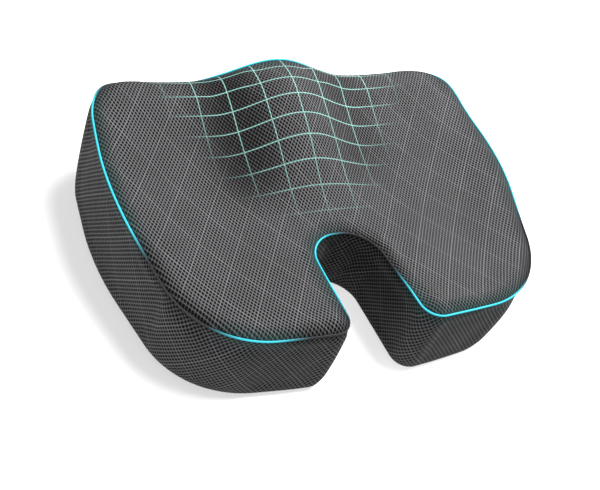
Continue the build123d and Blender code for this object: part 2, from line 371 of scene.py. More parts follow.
def new_mesh(name, points, faces, **attributes):
    """A smooth mesh object, with one named attribute of each point for each array given."""
    mesh = bpy.data.meshes.new(name)
    mesh.from_pydata([tuple(p) for p in points], [], faces)
    for label, values in attributes.items():
        values = np.asarray(values, np.float32)
        if values.ndim == 1:
            mesh.attributes.new(label, "FLOAT", "POINT").data.foreach_set("value", values)
        else:
            attribute = mesh.attributes.new(label, "FLOAT_VECTOR", "POINT")
            attribute.data.foreach_set("vector", values.ravel())
    mesh.shade_smooth()
    piece = bpy.data.objects.new(name, mesh)
    bpy.context.scene.collection.objects.link(piece)
    return piece


def thicken(piece, thickness):
    """Gives a panel its thickness, inwards from the surface that shows."""
    solidify = piece.modifiers.new("thickness", "SOLIDIFY")
    solidify.thickness = thickness
    solidify.offset = -1
    solidify.use_even_offset = True
    solidify.use_quality_normals = True


def soften_edges(piece):
    """Rounds the sharp edges of a small metal part, so that they catch the light."""
    bevel = piece.modifiers.new("soft_edges", "BEVEL")
    bevel.width = METAL_EDGE
    bevel.segments = 2
    bevel.limit_method = "ANGLE"
    bevel.angle_limit = math.radians(40)


def dress(piece, material, slot_name, *nodes, body="cushion"):
    """Gives a piece its material and its body, and hides the CAD parts it stands in for; slot_name is
    not used.
    """
    piece.data.materials.append(material)
    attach(piece, body)
    if nodes:
        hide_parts(*nodes)
    return piece


# ---------------------------------------------------------------- materials


class Graph:
    """A short way to write a material's nodes."""

    def __init__(self, name):
        self.material = bpy.data.materials.new(name)
        self.material.use_nodes = True
        self.nodes = self.material.node_tree.nodes
        self.links = self.material.node_tree.links
        self.shader = self.nodes["Principled BSDF"]

    def node(self, kind, inputs=(), **settings):
        """A new node with its inputs filled, each by a value or by another node's output."""
        made = self.nodes.new(kind)
        for key, value in settings.items():
            setattr(made, key, value)
        for key, value in dict(inputs).items():
            self.put(made.inputs[key], value)
        return made

    def put(self, socket, value):
        if isinstance(value, bpy.types.NodeSocket):
            self.links.new(value, socket)
        else:
            socket.default_value = value

    def math(self, operation, *values):
        return self.node("ShaderNodeMath", enumerate(values), operation=operation).outputs[0]

    def attribute(self, name, output="Vector"):
        return self.node("ShaderNodeAttribute", attribute_name=name).outputs[output]

    def parts(self, vector):
        return self.node("ShaderNodeSeparateXYZ", {0: vector}).outputs

    def ease(self, value, low, high, to_low=0.0, to_high=1.0):
        """value mapped smoothly from low..high to to_low..to_high."""
        inputs = {0: value, 1: low, 2: high, 3: to_low, 4: to_high}
        made = self.node("ShaderNodeMapRange", inputs, interpolation_type="SMOOTHSTEP")
        return made.outputs[0]

    def mix(self, share, first, second):
        """Colour that goes from first to second as share goes from 0 to 1."""
        made = self.node("ShaderNodeMix", {0: share, 6: first, 7: second}, data_type="RGBA")
        return made.outputs[2]

    def place(self):
        """The point's own position in metres."""
        return self.node("ShaderNodeTexCoord").outputs["Object"]

    def noise(self, scale, detail=2.0):
        inputs = {"Vector": self.place(), "Scale": scale, "Detail": detail}
        return self.node("ShaderNodeTexNoise", inputs).outputs[0]

    def cell_offset(self, value):
        """How far value is from the nearest whole number, from -0.5 to 0.5."""
        return self.math("SUBTRACT", self.math("FRACT", self.math("ADD", value, 0.5)), 0.5)

    def bump(self, height, distance, strength=1.0):
        """Shapes the surface by height, over a distance in metres."""
        inputs = {"Height": height, "Distance": distance, "Strength": strength}
        self.put(self.shader.inputs["Normal"], self.node("ShaderNodeBump", inputs).outputs[0])

    def finish(self, **values):
        """Fills the shader's own inputs and returns the material."""
        for key, value in values.items():
            self.put(self.shader.inputs[key.replace("_", " ")], value)
        return self.material


def colour(red, green, blue):
    """A linear colour with full opacity, as sockets take it."""
    return (red, green, blue, 1.0)


TEAL = colour(0.035, 0.72, 0.86)
MINT = colour(0.24, 0.50, 0.45)
GLOW = colour(0.05, 0.34, 0.32)
LINE_EVERY = 11.0


def spacer_mesh(name, thread, shaded_hole, printed=False):
    """Knitted spacer mesh: holes on a diamond lattice between two crossing sets of threads.

    The weave attribute counts holes along the two diagonals."""
    g = Graph(name)
    first, second, _ = g.parts(g.attribute("weave"))
    off_first, off_second = g.cell_offset(first), g.cell_offset(second)
    fibre = g.noise(1500.0, 3.0)
    opened = g.attribute("opened", "Fac")
    first_square = g.math("MULTIPLY", off_first, off_first)
    second_square = g.math("MULTIPLY", g.math("MULTIPLY", off_second, off_second), 0.85)
    radius = g.math("SQRT", g.math("ADD", first_square, second_square))
    radius = g.math("ADD", radius, g.math("MULTIPLY", g.math("SUBTRACT", fibre, 0.5), 0.08))
    # Holes widen beside the seam, where the knit opens, and in the valleys beside the pommel, as part
    # of the painted shade there.
    radius = g.math("SUBTRACT", radius, g.math("MULTIPLY", opened, 0.09))
    solid = g.ease(radius, 0.27, 0.39)

    ridges = []
    for offset, weight in ((off_first, 1.1), (off_second, 0.9)):
        ridges.append(g.ease(g.math("ABSOLUTE", offset), 0.28, 0.48, 0.0, weight))
    ridge = g.math("MAXIMUM", *ridges)
    crossing = g.math("MULTIPLY", *ridges)

    lines = []
    for count in (first, second):
        place = g.cell_offset(g.math("DIVIDE", g.math("SUBTRACT", count, 0.5), LINE_EVERY))
        place = g.math("ABSOLUTE", g.math("MULTIPLY", place, LINE_EVERY))
        lines.append(g.ease(place, 0.1, 0.3, 1.0, 0.0))
    line = g.math("MAXIMUM", *lines)

    patch = g.noise(28.0, 3.0)
    shade = g.ease(patch, 0.3, 0.7, 0.93, 1.07)
    shade = g.math("MULTIPLY", shade, g.ease(fibre, 0.25, 0.75, 0.78, 1.22))
    # Threads are lighter along their middles and where they cross: painted highlight on the threads.
    level = g.math("ADD", 0.44, g.math("MULTIPLY", ridge, 0.50))
    level = g.math("ADD", level, g.math("MULTIPLY", crossing, 0.28))
    level = g.math("ADD", level, g.math("MULTIPLY", line, 0.30))
    level = g.math("MULTIPLY", level, shade)
    # Threads darken beside the seam and in the valleys beside the pommel: painted shade.
    level = g.math("MULTIPLY", level, g.ease(opened, 0.0, 1.0, 1.0, 0.38))
    scaled = g.node("ShaderNodeVectorMath", {0: thread[:3], "Scale": level}, operation="SCALE")
    # The holes take a near-black colour: painted shade for their depth.
    cloth = g.mix(solid, shaded_hole, scaled.outputs[0])
    glow = g.attribute("glow", "Fac")
    cloth = g.mix(g.math("MULTIPLY", glow, 0.07), cloth, GLOW)
    strength = g.math("MULTIPLY", glow, 0.008)
    if printed:
        column, row, fade = g.parts(g.attribute("contour"))
        column = g.math("MULTIPLY", g.math("ABSOLUTE", g.cell_offset(column)), CONTOUR_PITCH_X)
        row = g.math("MULTIPLY", g.math("ABSOLUTE", g.cell_offset(row)), CONTOUR_PITCH_Y)
        near = g.math("MULTIPLY", g.math("MINIMUM", column, row), 1000.0)
        ink_and_glow = g.math("MULTIPLY", g.ease(near, 0.10, 0.75, 1.0, 0.0), fade)
        ink_and_glow = g.math("MULTIPLY", ink_and_glow, g.ease(solid, 0.0, 1.0, 0.88, 1.0))
        cloth = g.mix(g.math("MULTIPLY", ink_and_glow, 0.80), cloth, MINT)
        # The printed lines also emit a little: painted glow on the print.
        strength = g.math("ADD", strength, g.math("MULTIPLY", ink_and_glow, 0.04))

    height = g.math("MULTIPLY", solid, g.math("ADD", 0.55, g.math("MULTIPLY", ridge, 0.35)))
    height = g.math("ADD", height, g.math("MULTIPLY", fibre, 0.12))
    g.bump(height, 0.0006, 0.8)
    return g.finish(
        Base_Color=cloth,
        Roughness=g.ease(solid, 0.0, 1.0, 0.95, 0.72),
        Emission_Color=MINT,
        Emission_Strength=strength,
        Sheen_Weight=0.02,
        Sheen_Roughness=0.5,
        Specular_IOR_Level=0.08,
    )


def piping_material():
    """Satin piping, dark grey, with stretches of painted teal glow in its colour and emission along
    its length.
    """
    g = Graph("piping_satin")
    bright = g.attribute("bright", "Fac")
    along, around, _ = g.parts(g.attribute("cord"))
    turn = g.math("ADD", g.math("MULTIPLY", along, 900.0), g.math("MULTIPLY", around, 3.0))
    twist = g.math("ABSOLUTE", g.cell_offset(turn))
    dark = g.mix(g.ease(twist, 0.1, 0.5), colour(0.006, 0.006, 0.007), colour(0.018, 0.018, 0.02))
    lit = g.mix(g.ease(twist, 0.05, 0.5), colour(0.02, 0.32, 0.41), colour(0.03, 0.46, 0.56))
    g.bump(twist, 0.00025, 0.5)
    return g.finish(
        # Teal colour and emission on the glowing stretches: painted glow.
        Base_Color=g.mix(bright, dark, lit),
        Roughness=g.ease(twist, 0.0, 0.5, 0.70, 0.50),
        Specular_IOR_Level=0.2,
        Emission_Color=TEAL,
        Emission_Strength=g.math("MULTIPLY", bright, 0.05),
    )


def woven(name, base, light, scale, roughness=0.85, bump=0.0002):
    """Plain weave from the piece's own position, for tapes, base cloth, liner and thread."""
    g = Graph(name)
    waves = []
    for part in g.parts(g.place()):
        waves.append(g.math("SINE", g.math("MULTIPLY", part, 2 * math.pi * scale)))
    weave = g.math("MULTIPLY", g.math("MULTIPLY", waves[0], waves[1]), 0.5)
    weave = g.math("ADD", weave, g.math("MULTIPLY", g.math("MULTIPLY", waves[0], waves[2]), 0.5))
    fibre = g.noise(scale * 2.5, 3.0)
    share = g.math("ADD", g.ease(weave, -0.5, 0.5), g.math("MULTIPLY", fibre, 0.4))
    g.bump(g.math("ADD", weave, fibre), bump)
    return g.finish(
        Base_Color=g.mix(g.ease(share, 0.2, 1.2), base, light),
        Roughness=roughness,
        Sheen_Weight=0.1,
        Sheen_Roughness=0.5,
    )


def foam_material():
    """Open-cell memory foam, off-white, with small pores."""
    g = Graph("memory_foam")
    cells = g.node("ShaderNodeTexVoronoi", {"Vector": g.place(), "Scale": 700.0}).outputs[0]
    pores = g.ease(cells, 0.15, 0.5)
    patch = g.noise(20.0, 3.0)
    base = g.mix(g.ease(patch, 0.3, 0.7), colour(0.72, 0.66, 0.50), colour(0.80, 0.75, 0.60))
    g.bump(pores, 0.0004)
    return g.finish(Base_Color=g.mix(pores, colour(0.45, 0.40, 0.28), base), Roughness=0.9)


def plain_solid(name, base, worn, metallic=0.0, roughness=(0.3, 0.5), scale=180.0, bump=0.00005):
    """Moulded rubber or plastic, or metal: mottled, with fine scratches and uneven gloss."""
    g = Graph(name)
    patch = g.noise(scale, 4.0)
    grain = g.noise(scale * 14, 2.0)
    wear = g.node("ShaderNodeNewGeometry").outputs["Pointiness"]
    mottle = g.math("MULTIPLY", g.ease(patch, 0.45, 0.8), 0.35)
    share = g.math("ADD", g.ease(wear, 0.5, 0.58), mottle)
    g.bump(grain, bump)
    return g.finish(
        Base_Color=g.mix(g.math("MINIMUM", share, 1.0), base, worn),
        Roughness=g.ease(patch, 0.25, 0.75, *roughness),
        Metallic=metallic,
    )


def floor_material():
    """Pale studio floor."""
    g = Graph("studio_floor")
    patch = g.noise(0.6, 2.0)
    tone = g.mix(patch, colour(0.62, 0.62, 0.62), colour(0.65, 0.65, 0.65))
    return g.finish(Base_Color=tone, Roughness=0.8, Specular_IOR_Level=0.2)


# ---------------------------------------------------------------- fabric coordinates

# Cells of the knit in millimetres, across and down
TOP_CELL = (3.9, 5.56)
TOP_STRETCH = 0.003
WALL_CELL = (5.0, 5.7)

# Printed contour lines: rows that grow wider apart towards the trough, and fade at their ends
CONTOUR_PITCH_X = 0.0345
CONTOUR_PITCH_Y = 0.0205
CONTOUR_X = 0.002
CONTOUR_TOP_Y = FRONT_Y - 0.014
CONTOUR_FIRST_ROW = 0.0180
CONTOUR_ROW_GROWTH = 0.00065
CONTOUR_LEAST_ROW = -0.4
CONTOUR_NARROWEST = 0.030
CONTOUR_WIDENING = 0.110
CONTOUR_WIDEN_START_Y = -0.035
CONTOUR_WIDEN_LENGTH = CONTOUR_TOP_Y + 0.03
CONTOUR_WIDEN_CURVE = 0.8
CONTOUR_FADE_IN = 0.05
CONTOUR_FADE_X = 0.075
CONTOUR_END_Y = -0.045
CONTOUR_FADE_Y = 0.09
CONTOUR_FAINT = 0.6
CONTOUR_FAINT_Y = 0.02
CONTOUR_FAINT_LENGTH = 0.11

# How far the glow of the piping, and the opened knit with its painted shade, reach from the seam; and
# the valleys beside the pommel, which get painted shade as darker threads and wider holes, the right
# one less
GLOW_REACH = 0.006
OPEN_AND_SHADE_REACH = 0.011
WALL_OPEN_AND_SHADE = 0.8
VALLEY_X = 0.068
VALLEY_WIDTH = 0.040
VALLEY_START_Y = -0.03
VALLEY_EASE = 0.09
RIGHT_VALLEY = 0.5


def weave_counts(across, down, cell, stretch=0.0):
    """Hole counts along the two diagonals of a diamond lattice, the first one growing finer."""
    across, down = across * 1000 / cell[0], down * 1000 / cell[1]
    first, second = across + down, across - down
    return np.column_stack([first + stretch / 2 * first**2, second, 0 * first])


def along_wall(height):
    """Length along the wall's fabric at a height, as it turns under the rounded lower edge."""
    turned = np.arccos(np.clip(1 - height / EDGE_RADIUS, 0, 1))
    return np.where(height < EDGE_RADIUS, EDGE_RADIUS * (1 + turned - math.pi / 2), height)


def contour_counts(x, y):
    """Column and row counts of the printed contour lines, and how strongly they print."""
    column = (x - CONTOUR_X) / CONTOUR_PITCH_X
    back = CONTOUR_TOP_Y - y
    first, growth = CONTOUR_FIRST_ROW, CONTOUR_ROW_GROWTH
    row = (np.sqrt(np.maximum(first**2 + 4 * growth * back, 0)) - first) / (2 * growth)
    row = np.maximum(row, CONTOUR_LEAST_ROW)
    forward = np.clip((y - CONTOUR_WIDEN_START_Y) / CONTOUR_WIDEN_LENGTH, 0, 1)
    reach = CONTOUR_NARROWEST + CONTOUR_WIDENING * forward**CONTOUR_WIDEN_CURVE
    fade = 1 - smooth((np.abs(x - CONTOUR_X) - reach + CONTOUR_FADE_IN) / CONTOUR_FADE_X)
    strong = smooth((y - CONTOUR_FAINT_Y) / CONTOUR_FAINT_LENGTH)
    strength = CONTOUR_FAINT + (1 - CONTOUR_FAINT) * strong
    fade *= smooth((y - CONTOUR_END_Y) / CONTOUR_FADE_Y) * strength
    return np.column_stack([column, row, fade])


def valley_shade(x, y):
    """How much painted shade the valleys beside the pommel get, from 0 to 1, the right one less."""
    beside = np.exp(-(((np.abs(x) - VALLEY_X) / VALLEY_WIDTH) ** 2))
    side = np.where(x < 0, 1.0, RIGHT_VALLEY)
    return side * beside * smooth((y - VALLEY_START_Y) / VALLEY_EASE)


def brightness(distance):
    """How strongly the piping's painted glow shows at distances round the seam, from 0 to 1."""
    total = 0 * distance
    for start, end in GLOWING_STRETCHES:
        for turn in (-PERIMETER, 0, PERIMETER):
            rise = smooth((distance + turn - start) / GLOW_FADE + 0.5)
            fall = smooth((end - distance - turn) / GLOW_FADE + 0.5)
            total = np.maximum(total, rise * fall)
    return total


def uneven(points, amount=0.0004, scale=22.0):
    """Small soft unevenness of foam under fabric, as a height at each point."""
    return np.array([amount * noise.noise(Vector(p) * scale) for p in points])


# ---------------------------------------------------------------- cloth pass


def simulate_cover():
    """Simulates the cover as a coarse shell held at its seams, and returns where it started and
    how far each point swelled from there."""
    shell, seam, floor = closed_form("cloth_shell", CLOTH_INSET, INNER_SPACING, INNER_PITCH)
    start = np.array([v.co for v in shell.data.vertices])
    held = shell.vertex_groups.new(name="held")
    front = (np.abs(start[:, 0]) < FRONT_SEAM) & (start[:, 1] > FRONT_Y - FRONT_HOLD)
    by_zip = front & (start[:, 2] < ZIP_HIGH + ZIP_HOLD)
    held.add(seam + floor + [int(i) for i in np.flatnonzero(by_zip)], 1.0, "REPLACE")
    cloth = shell.modifiers.new("cloth", "CLOTH")
    cloth.settings.use_pressure = True
    cloth.settings.uniform_pressure_force = CLOTH_PRESSURE
    cloth.settings.vertex_group_mass = "held"
    cloth.settings.effector_weights.gravity = 0
    cloth.point_cache.frame_start = 1
    cloth.point_cache.frame_end = CLOTH_FRAMES
    scene = bpy.context.scene
    for moment in range(1, CLOTH_FRAMES + 1):
        scene.frame_set(moment)
    swollen = shell.evaluated_get(bpy.context.evaluated_depsgraph_get())
    move = np.array([v.co for v in swollen.data.vertices]) - start
    scene.frame_set(1)
    bpy.data.objects.remove(shell)
    return start, move


def make_swelling():
    """A function that gives points on the cover their move from the cloth pass.

    A point moves out where the cloth swelled most and in where its seams hold it back."""
    start, move = simulate_cover()
    amount = np.linalg.norm(move, axis=1)
    capped = CLOTH_LIMIT * np.tanh(amount / CLOTH_LIMIT)
    direction = move / np.maximum(amount, 1e-9)[:, None]
    move = direction * (capped - CLOTH_LEVEL)[:, None]
    tree = KDTree(len(start))
    for i, place in enumerate(start):
        tree.insert(place, i)
    tree.balance()

    def swelling(points):
        moves = np.empty_like(points)
        for i, point in enumerate(points):
            near = tree.find_n(point, CLOTH_NEIGHBOURS)
            weights = np.array([math.exp(-((distance / CLOTH_BLUR) ** 2)) for _, _, distance in near])
            moves[i] = weights @ move[[index for _, index, _ in near]] / (weights.sum() + 1e-12)
        return moves

    return swelling


# ---------------------------------------------------------------- cover panels

# Rows of the crown, as distances back from the seam, and how uneven the foam makes each
CROWN_BACKS = [0.0, 0.001, 0.0025, 0.0045, 0.007, 0.010, 0.0135, CROWN_WIDTH]
CROWN_UNEVENNESS = [0.0, 0.0, 0.0, 0.0, 0.3, 0.6, 0.8, 1.0]


def make_top_panel():
    """The seat's panel: rows of crown inside the seam, then an even grid over the middle."""
    columns = Columns(even_distances(0, PERIMETER, TOP_SPACING)[:-1])
    count = len(columns.distance)
    rows = [columns.crown(back) for back in CROWN_BACKS]
    grid, triangles = fill_ring(rows[-1][:, :2], TOP_PITCH)
    middle = np.column_stack([grid, seat_height(*grid.T)])
    points = np.vstack(rows + [middle])
    unevenness = np.concatenate([np.repeat(CROWN_UNEVENNESS, count), np.ones(len(middle))])
    points[:, 2] += uneven(points) * unevenness
    base = (len(rows) - 1) * count
    faces = grid_faces(len(rows), count, closed=True)
    faces += [tuple(base + i for i in t) for t in triangles]
    bright = brightness(columns.distance)
    glow = [bright * math.exp(-back / GLOW_REACH) for back in CROWN_BACKS[:-1]]
    glow = np.concatenate(glow + [0 * bright, np.zeros(len(middle))])
    weave = weave_counts(points[:, 0], points[:, 1], TOP_CELL, TOP_STRETCH)
    # Towards the seam the knit opens and takes painted shade; the valleys beside the pommel add
    # painted shade.
    edges = [np.full(count, math.exp(-back / OPEN_AND_SHADE_REACH)) for back in CROWN_BACKS[:-1]]
    edges = np.concatenate(edges + [np.zeros(count + len(middle))])
    opened = np.maximum(edges, valley_shade(points[:, 0], points[:, 1]))
    contour = contour_counts(points[:, 0], points[:, 1])
    free = np.repeat([float(smooth(back / SEAM_HOLD)) for back in CROWN_BACKS], count)
    free = np.concatenate([free, np.ones(len(middle))])
    points += swelling(points) * free[:, None]
    piece = new_mesh(
        "cover_top", points, faces, weave=weave, glow=glow, contour=contour, opened=opened
    )
    thicken(piece, COVER_THICKNESS)
    return piece


def beside_seams(distances):
    """The same distances, with finer steps beside both ends, where an upright seam tucks in."""
    fine = np.array([0.0, 0.0005, 0.0012, 0.0020])
    start, end = distances[0] + fine, distances[-1] - fine[::-1]
    return np.concatenate([start, distances[1:-1], end])


def wall_panel(name, distances, low=None, high=None, rows=WALL_ROWS):
    """A panel of the wall between two heights; its edge at the zip, low or high, rolls in.

    With no low it starts under the lower edge, and with no high it ends at the top seam."""
    distances = beside_seams(distances)
    columns = Columns(distances)
    if low is None:
        heights = [h + 0 * columns.height for h in columns.rounded_edge_heights()]
        hem = high
    else:
        heights = [low - BASE_Z + gap + 0 * columns.height for gap in HEM_ROWS]
        hem = low
    start = heights[-1]
    end = columns.height if high is None else high - BASE_Z - HEM_ROWS[-1]
    for share in crowded(np.linspace(0, 1, rows))[1:]:
        heights.append(start + (end - start) * share)
    if high is not None:
        heights += [high - BASE_Z - gap + 0 * columns.height for gap in HEM_ROWS[-2::-1]]
    surface = []
    for h in heights:
        row = columns.wall(h)
        if hem is not None:
            near_hem = np.maximum(0, 1 - np.abs(row[:, 2] - hem) / HEM_REACH)
            row[:, :2] -= columns.outward * (HEM_ROLL * near_hem**2)[:, None]
        surface.append(row)
    points = np.vstack(surface)
    faces = grid_faces(len(heights), len(distances))
    bright = brightness(columns.distance)
    glow = [bright * np.exp(-(columns.height - h) / GLOW_REACH) for h in heights]
    # Towards the top seam the wall's knit opens and takes painted shade.
    opened = [WALL_OPEN_AND_SHADE * np.exp(-(columns.height - h) / OPEN_AND_SHADE_REACH) for h in heights]
    distance = np.tile(distances, len(heights))
    weave = weave_counts(distance, along_wall(points[:, 2] - BASE_Z), WALL_CELL)
    glow, opened = np.concatenate(glow), np.concatenate(opened)
    from_seam = np.minimum(distance - distances[0], distances[-1] - distance)
    from_top = np.tile(columns.height, len(heights)) - (points[:, 2] - BASE_Z)
    free = smooth(from_seam / EDGE_HOLD) * smooth(from_top / SEAM_HOLD)
    free *= smooth((points[:, 2] - BASE_Z) / EDGE_HOLD)
    if hem is not None:
        free *= smooth((np.abs(points[:, 2] - hem) - HEM_REACH) / EDGE_HOLD)
    points += swelling(points) * free[:, None]
    piece = new_mesh(name, points, faces, weave=weave, glow=glow, opened=opened)
    thicken(piece, COVER_THICKNESS)
    return piece


def make_base():
    """The flat panel of the underside, inside the wall's lower edge."""
    columns = Columns(even_distances(0, PERIMETER, BASE_SPACING)[:-1])
    edge = columns.wall(columns.rounded_edge_heights()[0])
    ring = edge[:, :2] - columns.outward * BASE_INSET
    grid, triangles = fill_ring(ring, BASE_PITCH)
    plan = np.vstack([ring, grid])
    points = np.column_stack([plan, np.full(len(plan), BASE_Z)])
    piece = new_mesh("cover_base", points, [t[::-1] for t in triangles])
    thicken(piece, COVER_THICKNESS / 2)
    return piece


def make_piping():
    """The round cord in the top seam, as one closed tube."""
    columns = Columns(even_distances(0, PERIMETER, TOP_SPACING)[:-1])
    count = len(columns.distance)
    centre = columns.crown(0.0)
    centre[:, :2] += columns.outward * PIPING_OUT
    centre[:, 2] += PIPING_UP
    points, cord = [], []
    for i in range(PIPING_SIDES):
        angle = 2 * math.pi * i / PIPING_SIDES
        ring = centre.copy()
        ring[:, :2] += columns.outward * (PIPING_RADIUS * math.cos(angle))
        ring[:, 2] += PIPING_RADIUS * math.sin(angle)
        points.append(ring)
        around = np.full(count, i / PIPING_SIDES)
        cord.append(np.column_stack([columns.distance, around, 0 * around]))
    faces = grid_faces(PIPING_SIDES, count, closed=True)
    last_row = (PIPING_SIDES - 1) * count
    for c in range(count):
        right = (c + 1) % count
        faces.append((last_row + c, c, right, last_row + right))
    bright = np.tile(brightness(columns.distance), PIPING_SIDES)
    return new_mesh("cover_piping", np.vstack(points), faces, cord=np.vstack(cord), bright=bright)


def closed_form(name, inset, spacing, pitch):
    """The whole cushion's form as one closed mesh, shrunk by inset on every side, with the
    numbers of its points along the top seam and on the floor."""
    columns = Columns(even_distances(0, PERIMETER, spacing)[:-1], inset)
    heights = [h + 0 * columns.height for h in columns.rounded_edge_heights(INNER_EDGE_ROWS)]
    for share in np.linspace(0, 1, INNER_WALL_ROWS)[1:-1]:
        heights.append(EDGE_RADIUS + (columns.height - EDGE_RADIUS) * share)
    rows = [columns.wall(h) for h in heights]
    rows += [columns.crown(back) for back in CROWN_BACKS[::2] + [CROWN_WIDTH]]
    count = len(columns.distance)
    top_grid, top_triangles = fill_ring(rows[-1][:, :2], pitch)
    base_grid, base_triangles = fill_ring(rows[0][:, :2], pitch)
    top = np.column_stack([top_grid, seat_height(*top_grid.T) - inset])
    base = np.column_stack([base_grid, np.full(len(base_grid), rows[0][:, 2].min())])
    points = np.vstack(rows + [top, base])
    faces = grid_faces(len(rows), count, closed=True)
    last_row = (len(rows) - 1) * count
    faces += [tuple(last_row + i for i in t) for t in top_triangles]
    after_top = len(rows) * count + len(top)
    for t in base_triangles:
        faces.append(tuple(i if i < count else i - count + after_top for i in t[::-1]))
    seam = list(range(len(heights) * count, (len(heights) + 1) * count))
    floor = list(range(3 * count)) + list(range(after_top, len(points)))
    return new_mesh(name, points, faces), seam, floor


# ---------------------------------------------------------------- zip, stitches and label


def make_coil(name):
    """One coil of the zip: a flattened helix whose tips reach towards the zip line."""
    low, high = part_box(name)
    zip_line = (ZIP_LOW + ZIP_HIGH) / 2
    tip = math.copysign(COIL_TIP + COIL_WIRE, low.z - zip_line) + zip_line
    back = low.z + COIL_WIRE if low.z < zip_line else high.z - COIL_WIRE
    middle = Vector(((low.x + high.x) / 2, (low.y + high.y) / 2, (tip + back) / 2))
    deep = (high.y - low.y) / 2 - COIL_WIRE
    tall = (back - tip) / 2
    turns = int((high.x - low.x - 2 * COIL_WIRE) / COIL_PITCH)
    along = np.linspace(-turns / 2, turns / 2, turns * 10 + 1)
    curve = bpy.data.curves.new(name, "CURVE")
    curve.dimensions = "3D"
    curve.bevel_depth = COIL_WIRE
    curve.bevel_resolution = 1
    curve.use_fill_caps = True
    spline = curve.splines.new("POLY")
    spline.points.add(len(along) - 1)
    for point, turn in zip(spline.points, along):
        angle = 2 * math.pi * turn
        x = middle.x + turn * COIL_PITCH
        y = middle.y + deep * math.sin(angle)
        point.co = (x, y, middle.z + tall * math.cos(angle), 1)
    piece = bpy.data.objects.new("cover_" + name, curve)
    bpy.context.scene.collection.objects.link(piece)
    return piece


def sew(name, starts, ends, outward):
    """Raised stitches of thread, each a small arch from its start to its end."""
    sides, rings = 6, 5
    angles = np.arange(sides) * 2 * math.pi / sides
    points, faces = [], []
    for start, end, out in zip(starts, ends, outward):
        across = np.cross((end - start) / np.linalg.norm(end - start), out)
        base = len(points)
        for share in np.linspace(0, 1, rings):
            arch = math.sin(math.pi * share)
            centre = start + (end - start) * share + out * STITCH_RISE * (2 * arch - 1)
            radius = STITCH_RADIUS * (0.6 + 0.4 * arch)
            for angle in angles:
                points.append(centre + radius * (math.cos(angle) * across + math.sin(angle) * out))
        for r in range(rings - 1):
            for k in range(sides):
                low, high = base + r * sides, base + (r + 1) * sides
                right = (k + 1) % sides
                faces.append((low + k, low + right, high + right, high + k))
        faces.append(tuple(base + k for k in reversed(range(sides))))
        faces.append(tuple(base + (rings - 1) * sides + k for k in range(sides)))
    return new_mesh(name, points, faces)


def sew_along_zip(name, z):
    """A row of stitches along the zip, on the border at height z."""
    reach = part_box("zip_tape_upper")[1].x
    distances = np.arange(-reach, reach - STITCH_LENGTH, STITCH_STEP)
    first, last = Columns(distances), Columns(distances + STITCH_LENGTH)
    outward = np.column_stack([first.outward, 0 * distances])
    return sew(name, first.wall(z - BASE_Z), last.wall(z - BASE_Z), outward)


def sew_upright(name, distance):
    """A row of stitches up the wall at a distance round it."""
    column = Columns(np.array([distance]))
    heights = np.arange(STITCH_LOWEST, column.height[0] - STITCH_TOP_GAP, STITCH_STEP)
    if abs(distance) < FRONT_SEAM:
        off_zip = np.abs(heights + BASE_Z - (ZIP_LOW + ZIP_HIGH) / 2)
        heights = heights[off_zip > (ZIP_HIGH - ZIP_LOW) / 2 + STITCH_LENGTH]
    columns = Columns(np.full(len(heights), distance))
    outward = np.column_stack([columns.outward, 0 * heights])
    return sew(name, columns.wall(heights), columns.wall(heights + STITCH_LENGTH), outward)


def make_label():
    """Satin care label, sewn on by its upper edge, with a free end that curls off the wall."""
    low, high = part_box("care_label")
    across, up = 17, 13
    points, faces = [], []
    for u in np.linspace(0, 1, up):
        for a in np.linspace(0, 1, across):
            curl = LABEL_CURL * (1 - u) ** 2 * (0.75 + 0.25 * math.cos(5 * a + 0.6))
            wave = LABEL_WAVE * math.sin(9 * a) * math.sin(math.pi * u)
            x = low.x + (high.x - low.x) * a
            points.append((x, high.y + curl + wave, low.z + (high.z - low.z) * u))
    faces = grid_faces(up, across)
    piece = new_mesh("cover_label", points, [f[::-1] for f in faces])
    thicken(piece, high.y - low.y)
    return piece


def sew_label(name):
    """The row of stitches that holds the label's upper edge."""
    low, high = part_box("care_label")
    last = high.x - LABEL_STITCH_MARGIN - LABEL_STITCH_LENGTH
    x = np.arange(low.x + LABEL_STITCH_MARGIN, last, LABEL_STITCH_STEP)
    level = 0 * x
    y, z = high.y + LABEL_STITCH_RISE, high.z - LABEL_STITCH_DROP
    starts = np.column_stack([x, level + y, level + z])
    outward = np.tile((0.0, 1.0, 0.0), (len(x), 1))
    return sew(name, starts, starts + (LABEL_STITCH_LENGTH, 0, 0), outward)


# ---------------------------------------------------------------- scene

CAMERA_PLACE = Vector((-0.5861, -0.6301, 0.8378))
CAMERA_AIM = Vector((-0.0241, -0.0240, 0.050))
CAMERA_ROLL = math.radians(25.5)
CAMERA_LENS = 67.23
FLOOR_REACH = 9.0
WORLD_STRENGTH = 0.43


def add_camera():
    """A camera behind and above the cushion, rolled to one side."""
    data = bpy.data.cameras.new("camera")
    data.sensor_width = 36.0
    data.lens = CAMERA_LENS
    camera = bpy.data.objects.new("camera", data)
    upright = (CAMERA_AIM - CAMERA_PLACE).to_track_quat("-Z", "Y")
    camera.rotation_mode = "QUATERNION"
    camera.rotation_quaternion = upright @ Quaternion((0, 0, 1), CAMERA_ROLL)
    camera.location = CAMERA_PLACE
    bpy.context.scene.collection.objects.link(camera)
    bpy.context.scene.camera = camera


def add_light(kind, name, place, aim, size, power, shadow=True):
    """A light of a width in metres, or of an angle for a SUN."""
    data = bpy.data.lights.new(name, kind)
    setattr(data, "angle" if kind == "SUN" else "size", size)
    data.energy = power
    data.use_shadow = shadow
    light = bpy.data.objects.new(name, data)
    light.location = place
    light.rotation_mode = "QUATERNION"
    light.rotation_quaternion = (Vector(aim) - Vector(place)).to_track_quat("-Z", "Y")
    bpy.context.scene.collection.objects.link(light)


